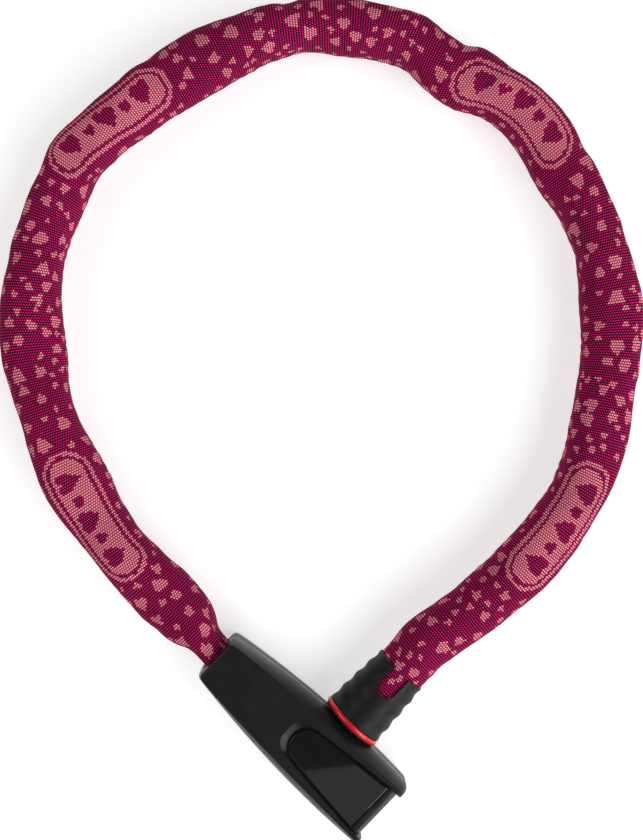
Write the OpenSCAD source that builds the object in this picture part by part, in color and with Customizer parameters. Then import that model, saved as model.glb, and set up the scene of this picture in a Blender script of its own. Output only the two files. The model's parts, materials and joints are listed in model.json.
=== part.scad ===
// Chain lock: a lock body with a keyed cylinder, a bolt connector, and a loop of
// square-bar links inside a textile sleeve. Millimetres, +Z up.
// The origin is on the underside of the lock body, below the point where the long axis
// of the body (X) crosses the axis of the bolt (Y).

/* [Lock body] */
// Thickness of the lock body
body_t = 32; // [31.5:0.1:32.5]
// End of the body where the chain is anchored (distance from the bolt)
body_tail = 68.9; // [68.4:0.1:69.4]
// End of the body with the keyhole (distance from the bolt)
body_nose = 39.3; // [38.8:0.1:39.8]
// Half width of the body at the chain end
tail_half_w = 12; // [11.8:0.1:12.4]
// Half width of the body at its widest point
belly_half_w = 19.3; // [19:0.1:20]
// Thickness of the case walls at the sides
wall = 2.4; // [2:0.1:2.6]

/* [Bolt and connector] */
// Diameter of the lock bolt
bolt_d = 13; // [12.6:0.1:13]
// Outer diameter of the red ring and of the grip beside it
ring_d = 31; // [30:0.1:31.4]
// Length of the grip along the bolt
grip_len = 32.1; // [31.6:0.1:32.4]
// Outer diameter of the grip at its mouth
mouth_d = 26.8; // [26.6:0.1:28]

/* [Cylinder] */
// Outer diameter of the cylinder body
cylinder_d = 16; // [15.8:0.1:16]
// Diameter of the turning plug
plug_d = 11; // [10.9:0.1:11]
// Number of detainer discs
discs = 6; // [4:1:7]

/* [Chain] */
// Side of the square bar that the links are made from
bar = 7; // [6.6:0.1:7]
// Distance from one link to the next along a straight chain
pitch = 32.8; // [32.6:0.1:33]
// Outer diameter of the textile sleeve's round stand-in
sleeve_d = 29.6; // [29:0.1:30]

/* [Hidden] */
$fn = 64;

// Height of the chain's and the bolt's centre line above the underside
zc = body_t / 2;
// Slack that lets boolean cuts run past a face
over = 1;

// --- Case ---
belly_x = 11;
nose_half_w = 18.2;
top_tail_half_w = 10.2;
top_growth = 5.6;
side_low = 9;
side_high = body_t - side_low;
tail_corner_r = 2;
nose_corner_r = 4.3;
outline_steps = 22;
floor_t = 3.4;
mouth_half_w = 7.9;
mouth_half_h = 13.4;
case_screw_spots = [[-42, 10.6], [-42, -10.6], [24, 13.8], [24, -13.8]];
boss_r = 2.4;
screw_r = 1.2;
screw_head_r = 2.2;

// --- Inlay panel ---
panel_x0 = -17.5;
panel_x1 = 30.7;
panel_tail_half_w = 7.2;
panel_nose_half_w = 12.4;
panel_t = 1.5;
panel_gap = 0.25;
groove_w = 1.2;
groove_depth = 1.7;

// --- End plate and keyhole cover ---
plate_x0 = 31.2;
plate_x1 = 36.2;
plate_chamfer = 2;
plate_half_w = 13.2;
plate_z0 = 1.4;
plate_z1 = 30.8;
track_depth = 1.7;
cover_t = 1.3;
cover_half_w = 4.3;
cover_half_h = 6.2;
cover_travel = 8;

// --- Steel housing ---
housing_z0 = 4.6;
housing_z1 = 27.4;
housing_tail_x = -46.3;
housing_nose_x = 31;
plate_thick = 1.9;
bolt_clear = 0.08;
anchor_pin_l = 14.6;
socket_depth = 13.4;
latch_gap = 0.25;

// --- Latch ---
latch_y0 = -5.6;
latch_t = 4;
latch_window_r = 6.8;
latch_x0 = -9.2;
latch_x1 = 11.1;
latch_z0 = 5.6;
latch_z1 = 20;
latch_travel = 2.6;
lug_x0 = -14;
lug_z0 = 16.6;
spring_x = -11.5;
spring_r = 1.5;
spring_wire = 0.7;
spring_turns = 6;
cam_orbit = latch_travel / sqrt(2);
cam_pin_r = 1.2;
cam_slot_gap = 0.15;

// --- Cylinder ---
cam_x0 = 11.4;
cam_tip_x = 9.15;
plug_x0 = 13.7;
cylinder_x0 = 13.9;
cylinder_x1 = 29.5;
plug_nose_x = 34.4;
nose_r = 4.4;
disc_x0 = 16.4;
disc_t = 1.5;
disc_gap = 0.3;
disc_r = 4.55;
keyway_h = 6.6;
keyway_w = 1.7;
run = 0.05;

// --- Bolt and connector ---
bolt_r = bolt_d / 2;
bolt_tip = -12.6;
neck_y0 = -6.5;
neck_y1 = -0.9;
neck_r = 3.9;
head_y0 = 20;
ring_t = 3;
ring_hole_r = 12.9;
grip_y0 = head_y0 + ring_t + 0.1;
grip_y1 = grip_y0 + grip_len;
head_y1 = 29.6;
fork_y1 = 47;
fork_t = 3.4;
fork_half_w = 8;
link_pin_y = 42;
link_pin_r = 3.5;
grip_bore_r = 12.5;
rib_pitch = 8.2;
rib_depth = 0.45;
notch_w = 9.6;
notch_depth = 13.8;
notch_roll = -4;
stub_r = 12.35;
stub_hole_r = 11.8;
stub_y0 = 39.5;

// --- Links ---
slack = 1.2;
inner_half_w = 4.4;
inner_corner = 2;
bar_chamfer = 1.2;
inner_half_l = (pitch + slack) / 2;
outer_half_w = inner_half_w + bar;
// Distance between the two end bars' centres of a link
long_step = 2 * inner_half_l + bar;
// Distance between the neighbours' bars that a link holds
short_step = 2 * pitch - long_step;

// --- Chain route ---
// Centre of the anchor pin, heading of the first link, and the turn to the right in
// degrees from each link to the next. The small error that is left at the connector's
// end is shared by all the links.
anchor = [-60, 0];
first_heading = 178;
turns = [2, 4, 8, 11, 11, 13, 15, 15, 14, 11, 11, 15, 17, 15, 12, 13, 13, 12, 11, 12,
         13, 14, 11, 2];
last_heading = -90;
link_count = len(turns) + 2;
link_pin = [0, link_pin_y];
loop_end = link_pin + [0, short_step];

function total(list, n) = n <= 0 ? 0 : list[n - 1] + total(list, n - 1);
function heading(i) = i == link_count ? last_heading : first_heading - total(turns, i - 1);
function step(i) = i == 1 ? pitch : i % 2 == 0 ? short_step : long_step;
function along(a, d) = d * [cos(a), sin(a)];
function raw_joint(i) = i == 0 ? anchor : raw_joint(i - 1) + along(heading(i), step(i));
loop_error = loop_end - raw_joint(link_count - 1);
// joint(i) is the place where link i hands over to link i + 1
function joint(i) = i == link_count ? link_pin
    : raw_joint(i) + loop_error * i / (link_count - 1);
function angle_of(v) = atan2(v.y, v.x);
function wrap(a) = a > 180 ? a - 360 : a < -180 ? a + 360 : a;
function link_heading(i) = angle_of(joint(i) - joint(i - 1));
function bisector(i) = link_heading(i) + wrap(link_heading(i + 1) - link_heading(i)) / 2;
function half_turn(i) = abs(wrap(link_heading(i + 1) - link_heading(i))) / 2;

// --- Sleeve ---
sleeve_wall = 1.2;
sleeve_sides = 12;
sleeve_r = sleeve_d / 2;
sleeve_gap = 1.2;

// ---------------------------------------------------------------- Shapes that repeat

// Half width of the body at x, and of its flat top
function side_w(x) = x < belly_x
    ? tail_half_w + (belly_half_w - tail_half_w)
        * pow(sin(90 * (x + body_tail) / (belly_x + body_tail)), 0.8)
    : belly_half_w - (belly_half_w - nose_half_w)
        * pow((x - belly_x) / (body_nose - belly_x), 2);
function top_w(x) = top_tail_half_w
    + top_growth * sqrt((x + body_tail) / (body_nose + body_tail));

// How much a rounded corner of radius r takes off the width at a distance d from the end
function corner_cut(d, r) = d >= r ? 0 : r - sqrt(r * r - (r - d) * (r - d));

// Stations that are close together near the two ends, where the corners are round
function station(i, x0, x1) = (x0 + x1) / 2 - (x1 - x0) / 2 * cos(180 * i / outline_steps);
function edge_w(x, x0, x1, top, inset) = (top ? top_w(x) : side_w(x)) - inset
    - corner_cut(x - x0, tail_corner_r) - corner_cut(x1 - x, nose_corner_r);

module body_outline(top, inset) {
    x0 = -body_tail + inset + (top ? 1 : 0);
    x1 = body_nose - inset - (top ? 1 : 0);
    side = [for (i = [0:outline_steps]) station(i, x0, x1)];
    polygon(concat(
        [for (x = side) [x, edge_w(x, x0, x1, top, inset)]],
        [for (i = [outline_steps:-1:0]) [side[i], -edge_w(side[i], x0, x1, top, inset)]]
    ));
}

module body_solid(inset, floor) {
    thin = 0.01;
    hull() {
        translate([0, 0, side_low])
            linear_extrude(side_high - side_low)
                body_outline(false, inset);
        translate([0, 0, floor])
            linear_extrude(thin)
                body_outline(true, inset);
        translate([0, 0, body_t - floor - thin])
            linear_extrude(thin)
                body_outline(true, inset);
    }
}

module block(x0, x1, y0, y1, z0, z1) {
    translate([x0, y0, z0])
        cube([x1 - x0, y1 - y0, z1 - z0]);
}

// Round bars along each axis through the height of the centre line
module along_x(x0, x1, r) {
    translate([x0, 0, zc])
        rotate([0, 90, 0])
            cylinder(h = x1 - x0, r = r);
}

module along_y(y0, y1, r) {
    translate([0, y0, zc])
        rotate([-90, 0, 0])
            cylinder(h = y1 - y0, r = r);
}

module rounded_slot(half_w, half_h, r) {
    square([2 * half_w, 2 * (half_h - r)], center = true);
    square([2 * (half_w - r), 2 * half_h], center = true);
    for (sx = [-1, 1], sy = [-1, 1])
        translate([sx * (half_w - r), sy * (half_h - r)])
            circle(r);
}

// An upright slot through the chain end of the body
module tail_slot(x0, x1, half_w, half_h, r) {
    translate([x0, 0, zc])
        rotate([90, 0, 90])
            linear_extrude(x1 - x0)
                rounded_slot(half_w, half_h, r);
}

module keyway(x0, x1) {
    block(x0, x1, -keyway_w / 2, keyway_w / 2, zc - keyway_h / 2, zc + keyway_h / 2);
}

module screw(length) {
    cylinder(h = length, r = screw_r, $fn = 32);
    difference() {
        cylinder(h = 1.6, r = screw_head_r, $fn = 32);
        translate([0, 0, -over])
            cylinder(h = 0.9 + over, r = 1.1, $fn = 6);
    }
}

// ---------------------------------------------------------------- Case

module bolt_hole() {
    along_y(0, 30, 9.3);
}

module end_opening() {
    block(plate_x0 - 0.1, body_nose + over, -plate_half_w - 0.1, plate_half_w + 0.1,
          plate_z0 - 0.1, body_t + over);
}

module case_shell() {
    difference() {
        body_solid(0, 0);
        body_solid(wall, floor_t);
        bolt_hole();
        tail_slot(-body_tail - over, -body_tail + 3.2, mouth_half_w, mouth_half_h, 6);
        end_opening();
    }
}

module boss_posts(z0, z1) {
    for (p = case_screw_spots)
        translate([p.x, p.y, z0])
            cylinder(h = z1 - z0, r = boss_r);
}

module screw_holes(z0, z1) {
    for (p = case_screw_spots)
        translate([p.x, p.y, z0])
            cylinder(h = z1 - z0, r = screw_r + 0.1);
}

function panel_half_w(x, grow) = panel_tail_half_w
    + (panel_nose_half_w - panel_tail_half_w)
        * pow((x - panel_x0) / (panel_x1 - panel_x0), 0.8) + grow;

module panel_outline(grow) {
    r = 6.5;
    x0 = panel_x0 - grow;
    x1 = panel_x1 + grow;
    arc = [for (a = [0:9:90]) x0 + r * (1 - cos(a))];
    side = concat(arc, [8, 16, 24, x1]);
    half = [for (x = side) panel_half_w(max(x, panel_x0), grow) - corner_cut(x - x0, r)];
    last = len(side) - 1;
    polygon(concat(
        [for (i = [0:last]) [side[i], half[i]]],
        [for (i = [last:-1:0]) [side[i], -half[i]]]
    ));
}

module case_upper() {
    color("#232323")
        difference() {
            union() {
                intersection() {
                    case_shell();
                    block(-100, 100, -50, 50, zc, body_t);
                }
                boss_posts(zc, body_t - floor_t + 0.5);
            }
            screw_holes(zc - over, 26);
            translate([0, 0, body_t - panel_t - 0.05])
                linear_extrude(panel_t + over)
                    panel_outline(panel_gap);
            translate([0, 0, body_t - groove_depth])
                linear_extrude(groove_depth + over)
                    difference() {
                        panel_outline(groove_w);
                        panel_outline(panel_gap);
                    }
        }
}

module case_lower() {
    color("#202020")
        difference() {
            union() {
                intersection() {
                    case_shell();
                    block(-100, 100, -50, 50, 0, zc);
                }
                boss_posts(floor_t - 0.5, zc);
            }
            screw_holes(-over, zc + over);
            for (p = case_screw_spots)
                translate([p.x, p.y, -over])
                    cylinder(h = 1.8 + over, r = screw_head_r + 0.15);
        }
}

module inlay_panel() {
    color("#2d2d2d")
        translate([0, 0, body_t - panel_t])
            linear_extrude(panel_t)
                panel_outline(0);
}

module case_screws() {
    color("#8a8a8a")
        for (p = case_screw_spots)
            translate([p.x, p.y, 0.2])
                screw(24);
}

module end_plate() {
    color("#1a1a1a")
        difference() {
            translate([0, plate_half_w, 0])
                rotate([90, 0, 0])
                    linear_extrude(2 * plate_half_w)
                        polygon([[plate_x0, plate_z0],
                                 [plate_x1 - plate_chamfer, plate_z0],
                                 [plate_x1, plate_z0 + plate_chamfer],
                                 [plate_x1, plate_z1 - plate_chamfer],
                                 [plate_x1 - plate_chamfer, plate_z1],
                                 [plate_x0, plate_z1]]);
            along_x(plate_x0 - over, plate_x1 + over, nose_r + 0.2);
            block(plate_x1 - track_depth, plate_x1 + over,
                  -cover_half_w - cover_travel - 0.2, cover_half_w + 0.2,
                  zc - cover_half_h - 0.15, zc + cover_half_h + 0.15);
            for (s = [-1, 1])
                block(plate_x1 - 0.6, plate_x1 + over, -11, 11,
                      zc + s * 10.6 - 0.5, zc + s * 10.6 + 0.5);
        }
}

module keyhole_cover() {
    x1 = plate_x1 - track_depth + 0.15 + cover_t;
    color("#2b2b2b") {
        difference() {
            block(x1 - cover_t, x1, -cover_half_w, cover_half_w,
                  zc - cover_half_h, zc + cover_half_h);
            translate([x1 + 5.4, 0, zc])
                sphere(r = 6);
        }
        for (y = [-4, -2.7, 2.7, 4])
            block(x1 - 0.2, x1 + 0.6, y - 0.35, y + 0.35,
                  zc - cover_half_h + 1.2, zc + cover_half_h - 1.2);
    }
}

module socket_bush() {
    color("#3a3a3c")
        translate([0, 15.8, zc])
            rotate([-90, 0, 0])
                difference() {
                    cylinder(h = 4.2, r = 9.1);
                    translate([0, 0, -over])
                        cylinder(h = 8, r = bolt_r + 0.15);
                }
}

module sleeve_clamp() {
    color("#2a2a2a")
        difference() {
            tail_slot(-body_tail + 0.5, -body_tail + 2.6, 6.7, 12.4, 5);
            tail_slot(-body_tail - over, -body_tail + 8, 4.15, 11.8, 2);
        }
}

// ---------------------------------------------------------------- Steel housing

// The room that the latch, its spring and the cam need, open to the top
module latch_room() {
    block(latch_x0 - latch_gap, latch_x1 + latch_gap, latch_y0 - 0.2,
          latch_y0 + latch_t + 0.2, latch_z0 - 0.6, housing_z1 + over);
    block(lug_x0 - latch_gap, latch_x0, latch_y0 - 0.2, latch_y0 + latch_t + 0.2,
          latch_z0, housing_z1 + over);
    block(9, latch_x1 + latch_gap, latch_y0 - 0.2, 5, latch_z0 + 3, housing_z1 + over);
    along_x(11, plug_x0 + 0.2, 6.4);
}

module lock_housing() {
    color("#9a9ca0")
        difference() {
            union() {
                block(housing_tail_x, housing_nose_x, -8.1, 8.1, housing_z0, housing_z1);
                block(-13, housing_nose_x, -11, 11, housing_z0, housing_z1);
                block(-10, 10, -14.6, 15.2, housing_z0 + 3, housing_z1 - 3);
                for (s = [-1, 1])
                    block(anchor.x - 4.2, housing_tail_x + 1, s * 5.8 - 1.4, s * 5.8 + 1.4,
                          zc - 8, zc + 8);
            }
            along_y(-socket_depth, 40, bolt_r + bolt_clear);
            latch_room();
            along_x(plug_x0, housing_nose_x + over, cylinder_d / 2 + run);
            block(-15, 14, -8, 7.5, housing_z1 - plate_thick - 0.1, housing_z1 + over);
            translate([anchor.x, -12, zc])
                rotate([-90, 0, 0])
                    cylinder(h = 24, r = link_pin_r + run);
            translate([22, 0, housing_z0 - over])
                cylinder(h = 6, r = 1.55);
            for (x = [-13.4, 7], y = [-7, 6.5])
                translate([x == 7 ? 12.4 : x, y, housing_z1 - 7])
                    cylinder(h = 8, r = 0.8);
        }
}

module housing_plate() {
    color("#84868a")
        difference() {
            block(-14.9, 13.9, -7.9, 7.4, housing_z1 - plate_thick, housing_z1);
            for (x = [-13.4, 12.4], y = [-7, 6.5])
                translate([x, y, housing_z1 - plate_thick - over])
                    cylinder(h = 5, r = 0.85);
        }
}

module plate_screws() {
    color("#6f7073")
        for (x = [-13.4, 12.4], y = [-7, 6.5])
            translate([x, y, housing_z1 - 6]) {
                cylinder(h = 6.1, r = 0.75);
                translate([0, 0, 6.05])
                    difference() {
                        cylinder(h = 0.8, r = 1.4);
                        block(-2, 2, -0.2, 0.2, 0.4, 2);
                    }
            }
}

module anchor_pin() {
    color("#b0b2b6")
        translate([anchor.x, -anchor_pin_l / 2, zc])
            rotate([-90, 0, 0])
                cylinder(h = anchor_pin_l, r = link_pin_r);
}

module latch() {
    color("#c2b280")
        difference() {
            union() {
                block(latch_x0, latch_x1, latch_y0, latch_y0 + latch_t, latch_z0, latch_z1);
                block(lug_x0, latch_x0, latch_y0, latch_y0 + latch_t, lug_z0, latch_z1);
                block(latch_x1 - 1.8, latch_x1, latch_y0, 4.6, 9.4, latch_z1);
            }
            hull() {
                along_y(-12, 2, latch_window_r);
                translate([0, 0, 12])
                    along_y(-12, 2, latch_window_r);
            }
            translate([latch_x1 - 2.2, 0, zc - cam_orbit * sin(45)])
                hull()
                    for (y = [cam_orbit * cos(45), cam_orbit])
                        translate([0, y, 0])
                            rotate([0, 90, 0])
                                cylinder(h = 4, r = cam_pin_r + cam_slot_gap);
        }
}

// Points of a round wire of radius r that follows a list of centres round the Z axis
function wire_ring(c, a, r, n) = [for (k = [0:n - 1])
    [c.x + r * cos(360 * k / n) * cos(a), c.y + r * cos(360 * k / n) * sin(a),
     c.z + r * sin(360 * k / n)]];

module tube_mesh(rings, n) {
    last = len(rings) - 1;
    points = [for (ring = rings) for (p = ring) p];
    sides = [for (i = [0:last - 1], k = [0:n - 1])
        let (a = i * n + k, b = i * n + (k + 1) % n)
        each [[a, b, b + n], [a, b + n, a + n]]];
    start_cap = [for (k = [n - 1:-1:0]) k];
    end_cap = [for (k = [0:n - 1]) last * n + k];
    polyhedron(concat(points), concat(sides, [start_cap, end_cap]));
}

module latch_spring() {
    z0 = latch_z0 + 0.1 + spring_wire / 2;
    z1 = lug_z0 - 0.1 - spring_wire / 2;
    steps = 10 * spring_turns;
    color("#a8a8a8")
        tube_mesh([for (i = [0:steps])
            let (a = 360 * i / 10)
            wire_ring([spring_x + spring_r * cos(a),
                       latch_y0 + latch_t / 2 + spring_r * sin(a),
                       z0 + (z1 - z0) * i / steps], a, spring_wire / 2, 6)], 6);
}

// ---------------------------------------------------------------- Cylinder

module cylinder_body() {
    color("#b59b5b")
        difference() {
            along_x(cylinder_x0, cylinder_x1, cylinder_d / 2);
            along_x(0, 60, plug_d / 2 + run);
            along_x(0, cylinder_x0 + 1.6, 6.7);
            block(cylinder_x0 + 2.4, cylinder_x1 - 0.6, -0.85, 0.85, zc + 4, zc + 6.4);
            translate([22, 0, 0])
                cylinder(h = 9.6, r = 1.55);
        }
}

module cylinder_screw() {
    color("#5f6063")
        translate([22, 0, housing_z0 + 0.2])
            difference() {
                cylinder(h = 4, r = 1.5);
                translate([0, 0, -over])
                    cylinder(h = 1.4 + over, r = 0.75, $fn = 6);
            }
}

module face_ring() {
    color("#7c7d80")
        difference() {
            along_x(cylinder_x1 + 0.05, housing_nose_x, cylinder_d / 2 - 0.1);
            along_x(0, 60, nose_r + 0.1);
        }
}

module disc_chamber() {
    along_x(disc_x0 - 0.3, disc_x0 + discs * (disc_t + disc_gap), disc_r + 0.08);
}

module cylinder_plug() {
    color("#c9a94f")
        difference() {
            union() {
                along_x(plug_x0, cylinder_x1 - 0.1, plug_d / 2);
                along_x(20, plug_nose_x, nose_r);
            }
            disc_chamber();
            block(disc_x0 - 0.2, disc_x0 + 12, -0.8, 0.8, zc + 4, zc + 6);
            keyway(disc_x0, plug_nose_x + over);
            difference() {
                along_x(cylinder_x0 + 0.4, cylinder_x0 + 1.3, plug_d);
                along_x(0, 60, plug_d / 2 - 0.6);
            }
        }
}

module detainer_discs() {
    color("#d8c27a")
        for (i = [0:discs - 1])
            let (x = disc_x0 + i * (disc_t + disc_gap))
            difference() {
                along_x(x, x + disc_t, disc_r);
                keyway(x - over, x + disc_t + over);
                block(x - over, x + disc_t + over, -0.9, 0.9, zc + 3.9, zc + 6);
            }
}

module sidebar() {
    color("#d5d5d5")
        block(disc_x0, disc_x0 + 11, -0.7, 0.7, zc + 4, zc + 5.3);
}

module plug_clip() {
    color("#707070")
        difference() {
            along_x(cylinder_x0 + 0.45, cylinder_x0 + 1.25, 6.3);
            along_x(0, 60, plug_d / 2 - 0.55);
            block(0, 60, -8, 0, zc - 1.6, zc + 1.6);
        }
}

module drive_cam() {
    color("#8f8f93") {
        difference() {
            along_x(cam_x0, plug_x0, 5.4);
            along_x(plug_x0 - 0.5, plug_x0 + over, 1.5);
        }
        translate([0, cam_orbit * cos(45), -cam_orbit * sin(45)])
            along_x(cam_tip_x, cam_x0, cam_pin_r);
    }
}

// ---------------------------------------------------------------- Connector

module lock_bolt() {
    color("#c4c6c9")
        translate([0, 0, zc])
            rotate([-90, 0, 0])
                rotate_extrude()
                    polygon([
                        [0, bolt_tip], [bolt_r - 2, bolt_tip], [bolt_r, bolt_tip + 2],
                        [bolt_r, neck_y0], [neck_r, neck_y0], [neck_r, neck_y1],
                        [bolt_r, neck_y1], [bolt_r, head_y0], [0, head_y0]
                    ]);
}

module connector_head() {
    z = fork_t + bar / 2 + 0.4;
    color("#9fa1a5")
        difference() {
            union() {
                along_y(head_y0, head_y0 + ring_t + 2, ring_hole_r - 0.05);
                along_y(head_y0 + ring_t, head_y1, 11);
                intersection() {
                    block(-fork_half_w, fork_half_w, head_y1 - 1, fork_y1, zc - z, zc + z);
                    along_y(head_y1 - 2, fork_y1 + 1, 11.6);
                }
            }
            block(-20, 20, head_y1, fork_y1 + over, zc - bar / 2 - 0.4, zc + bar / 2 + 0.4);
            translate([0, link_pin_y, zc - 12])
                cylinder(h = 24, r = link_pin_r + run);
        }
}

module link_pin() {
    color("#b4b6ba")
        translate([0, link_pin_y, zc - fork_t - bar / 2 - 0.3])
            cylinder(h = 2 * (fork_t + bar / 2 + 0.3), r = link_pin_r);
}

module red_ring() {
    color("#dc1e28")
        translate([0, head_y0, zc])
            rotate([-90, 0, 0])
                rotate_extrude()
                    polygon([
                        [ring_hole_r, 0], [ring_d / 2 - 0.5, 0], [ring_d / 2, 0.5],
                        [ring_d / 2, ring_t - 0.5], [ring_d / 2 - 0.5, ring_t],
                        [ring_hole_r, ring_t]
                    ]);
}

// Outer radius of the grip at a distance t from the ring, with its finger ribs
function grip_r(t) = ring_d / 2 - 0.3 - (ring_d - 0.6 - mouth_d) / 2 * t / grip_len
    - rib_depth * (1 - cos(360 * t / rib_pitch)) / 2;

module grip_sleeve() {
    color("#1d1d1d")
        difference() {
            translate([0, grip_y0, zc])
                rotate([-90, 0, 0])
                    rotate_extrude()
                        polygon(concat(
                            [[ring_hole_r + 0.1, 0]],
                            [for (t = [0:1.2:grip_len]) [grip_r(t), t]],
                            [[grip_bore_r, grip_len], [grip_bore_r, 6],
                             [ring_hole_r + 0.1, 6]]
                        ));
            translate([0, 0, zc])
                rotate([0, notch_roll, 0])
                    block(-notch_w / 2, notch_w / 2, grip_y1 - notch_depth, grip_y1 + over,
                          0, 20);
        }
}

module sleeve_connector() {
    end_y = loop_end.y - sleeve_gap - sleeve_r * tan(half_turn(link_count - 1));
    color("#8e1450")
        difference() {
            union() {
                along_y(stub_y0, grip_y1 + 0.2, stub_r);
                along_y(grip_y1 + 0.2, end_y, sleeve_r - 0.6);
            }
            along_y(0, 60, stub_hole_r);
            along_y(grip_y1 + 1.4, 80, sleeve_r - 0.6 - sleeve_wall);
        }
}

// ---------------------------------------------------------------- Chain

module bar_section() {
    h = bar / 2;
    c = h - bar_chamfer;
    polygon([[h, c], [c, h], [-c, h], [-h, c], [-h, -c], [-c, -h], [c, -h], [h, -c]]);
}

module straight_bar(length) {
    rotate([90, 0, 90])
        translate([0, 0, -length / 2])
            linear_extrude(length)
                bar_section();
}

// One link, lying flat in the XY plane with its length along X
module link() {
    mid_w = inner_half_w + bar / 2;
    mid_l = inner_half_l + bar / 2;
    for (s = [-1, 1]) {
        translate([0, s * mid_w, 0])
            straight_bar(2 * (inner_half_l - inner_corner));
        translate([s * mid_l, 0, 0])
            rotate(90)
                straight_bar(2 * (inner_half_w - inner_corner));
    }
    for (q = [0:3])
        let (sx = q == 0 || q == 3 ? 1 : -1, sy = q < 2 ? 1 : -1)
        translate([sx * (inner_half_l - inner_corner), sy * (inner_half_w - inner_corner), 0])
            rotate(90 * q)
                rotate_extrude(angle = 90)
                    translate([inner_corner + bar / 2, 0])
                        bar_section();
}

// Link i at its place in the loop: odd links stand upright, even ones lie flat
module placed_link(i) {
    mid = i == 1 ? joint(1) - along(link_heading(1), long_step / 2)
        : (joint(i - 1) + joint(i)) / 2;
    translate([mid.x, mid.y, zc])
        rotate(link_heading(i))
            rotate([i % 2 == 1 ? 90 : 0, 0, 0])
                link();
}

module links(k) {
    color("#a3a5a9") {
        placed_link(2 * k);
        placed_link(2 * k + 1);
    }
}

// A ring of points round the centre line, in a plane across heading a
function sleeve_ring(c, a, r_side, r_up) = [for (k = [0:sleeve_sides - 1])
    let (t = 360 * (k + 0.5) / sleeve_sides)
    [c.x - r_side * cos(t) * sin(a), c.y + r_side * cos(t) * cos(a), zc + r_up * sin(t)]];

// A ring of the sleeve at joint i, moved along by d, in the plane that halves the turn
function mitre_ring(i, d, r) = let (a = bisector(i))
    sleeve_ring(joint(i) + along(a, d), a, r / cos(half_turn(i)), r);

module sleeve_tube(outer, inner) {
    n = sleeve_sides;
    m = len(outer);
    shell = m * n;
    points = [for (ring = concat(outer, inner)) for (p = ring) p];
    walls = [for (i = [0:m - 2], k = [0:n - 1])
        let (a = i * n + k, b = i * n + (k + 1) % n)
        each [[a, b, b + n], [a, b + n, a + n],
              [a + shell, b + n + shell, b + shell],
              [a + shell, a + n + shell, b + n + shell]]];
    last = (m - 1) * n;
    ends = [for (k = [0:n - 1])
        let (b = (k + 1) % n)
        each [[k, b + shell, b], [k, k + shell, b + shell],
              [last + k, last + b, last + b + shell],
              [last + k, last + b + shell, last + k + shell]]];
    polyhedron(points, concat(walls, ends));
}

// The stretch of sleeve that moves with chain body k
module sleeve(k) {
    first = 2 * k - 1;
    inner_r = sleeve_r - sleeve_wall;
    color("#8e1450")
        sleeve_tube(
            [mitre_ring(first, sleeve_gap, sleeve_r), mitre_ring(first + 1, 0, sleeve_r),
             mitre_ring(first + 2, -sleeve_gap, sleeve_r)],
            [mitre_ring(first, sleeve_gap, inner_r), mitre_ring(first + 1, 0, inner_r),
             mitre_ring(first + 2, -sleeve_gap, inner_r)]);
}

module sleeve_anchor() {
    start = [-body_tail - 0.4, 0.3];
    neck = [-body_tail - 9, 0.6];
    inner_r = sleeve_r - sleeve_wall;
    color("#8e1450")
        sleeve_tube(
            [sleeve_ring(start, 180, 8.2, 13.8), sleeve_ring(neck, 180, 10.5, 14.2),
             mitre_ring(1, -sleeve_gap, sleeve_r)],
            [sleeve_ring(start, 180, 7, 13), sleeve_ring(neck, 180, 9.3, 13.2),
             mitre_ring(1, -sleeve_gap, inner_r)]);
}

module anchor_link() {
    color("#a3a5a9")
        placed_link(1);
}

module connector_link() {
    color("#a3a5a9")
        placed_link(link_count);
}

case_upper();
case_lower();
inlay_panel();
end_plate();
case_screws();
lock_housing();
housing_plate();
plate_screws();
anchor_pin();
anchor_link();
sleeve_anchor();
sleeve_clamp();
socket_bush();
face_ring();
cylinder_body();
cylinder_screw();
latch_spring();
latch();
cylinder_plug();
detainer_discs();
sidebar();
plug_clip();
drive_cam();
keyhole_cover();
lock_bolt();
connector_head();
link_pin();
connector_link();
grip_sleeve();
red_ring();
sleeve_connector();
for (k = [1:12]) {
    name = str(k < 10 ? "0" : "", k);
    links(k);
    sleeve(k);
}
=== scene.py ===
"""Looks of a chain lock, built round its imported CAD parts. Shapes are worked out in millimetres
and stored in metres. +X runs along the lock body to the keyhole, +Y along the bolt, +Z is up."""

import json
import math
import random

import bmesh
import bpy
import numpy as np
from mathutils import Matrix, Vector, noise


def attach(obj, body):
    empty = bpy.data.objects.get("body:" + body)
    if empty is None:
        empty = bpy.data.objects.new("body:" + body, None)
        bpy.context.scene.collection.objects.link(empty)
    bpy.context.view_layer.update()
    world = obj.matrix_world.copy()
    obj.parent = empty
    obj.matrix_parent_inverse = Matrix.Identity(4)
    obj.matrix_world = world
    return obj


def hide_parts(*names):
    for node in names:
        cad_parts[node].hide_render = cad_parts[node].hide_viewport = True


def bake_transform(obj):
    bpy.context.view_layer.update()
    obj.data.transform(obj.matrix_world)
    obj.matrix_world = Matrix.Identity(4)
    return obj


MM = 0.001

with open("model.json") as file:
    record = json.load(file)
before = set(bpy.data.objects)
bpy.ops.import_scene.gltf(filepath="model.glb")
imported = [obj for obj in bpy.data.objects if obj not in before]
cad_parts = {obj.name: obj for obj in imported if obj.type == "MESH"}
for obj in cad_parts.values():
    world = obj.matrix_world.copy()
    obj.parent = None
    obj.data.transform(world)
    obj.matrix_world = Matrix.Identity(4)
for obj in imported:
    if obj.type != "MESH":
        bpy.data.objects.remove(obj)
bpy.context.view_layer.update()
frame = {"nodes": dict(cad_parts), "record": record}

# ------------------------------------------------------------------ Sizes of the lock

# Millimetres. They are the part's sizes, but the nose, the red ring and the grip are up to 0.4 mm
# away from the part's and have rounder edges, as these pieces stand for the plainer CAD ones.

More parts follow.
